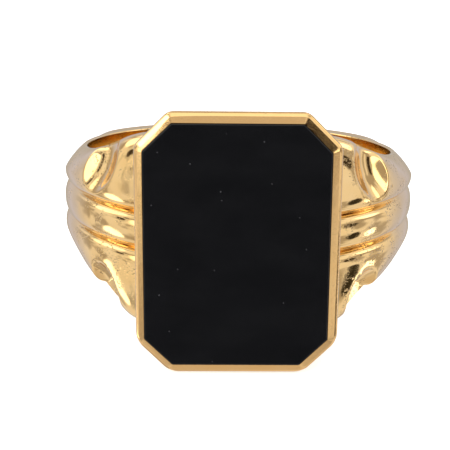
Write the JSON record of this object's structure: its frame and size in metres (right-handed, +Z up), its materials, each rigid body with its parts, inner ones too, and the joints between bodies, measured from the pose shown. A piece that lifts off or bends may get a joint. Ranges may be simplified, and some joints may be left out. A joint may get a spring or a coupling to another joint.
{
  "type": "signet ring",
  "caption": "Gold signet ring with a flat black stone in a cut-corner rectangular collet, fluted shoulders with a scooped cheek, and a plain narrow shank.",
  "frame": {"origin": "on the table under the middle of the ring's bounding box, with the ring lying as it rests: on the lower edge of its collet and the lower back edge of its shank", "axes": "-Y towards the stone, along the ring's length from palm side to face; X across the finger; +Z up. The finger's axis leans 13.5 degrees from +Z towards +Y, and the stone faces -Y and 13.5 degrees upward"},
  "size_m": [0.0228, 0.0252, 0.0151],
  "materials": {
    "onyx": "polished",
    "bezel_gold": "gloss",
    "inner_gold": "satin",
    "shoulder_gold": "polished",
    "shank_gold": "gloss"
  },
  "bodies": {
    "root": {"onyx_tablet": "onyx", "bezel_wall": "bezel_gold", "bearing_strip": "inner_gold", "base_plate": "inner_gold", "left_shoulder": "shoulder_gold", "right_shoulder": "shoulder_gold", "shank": "shank_gold"}
  },
  "joints": []
}
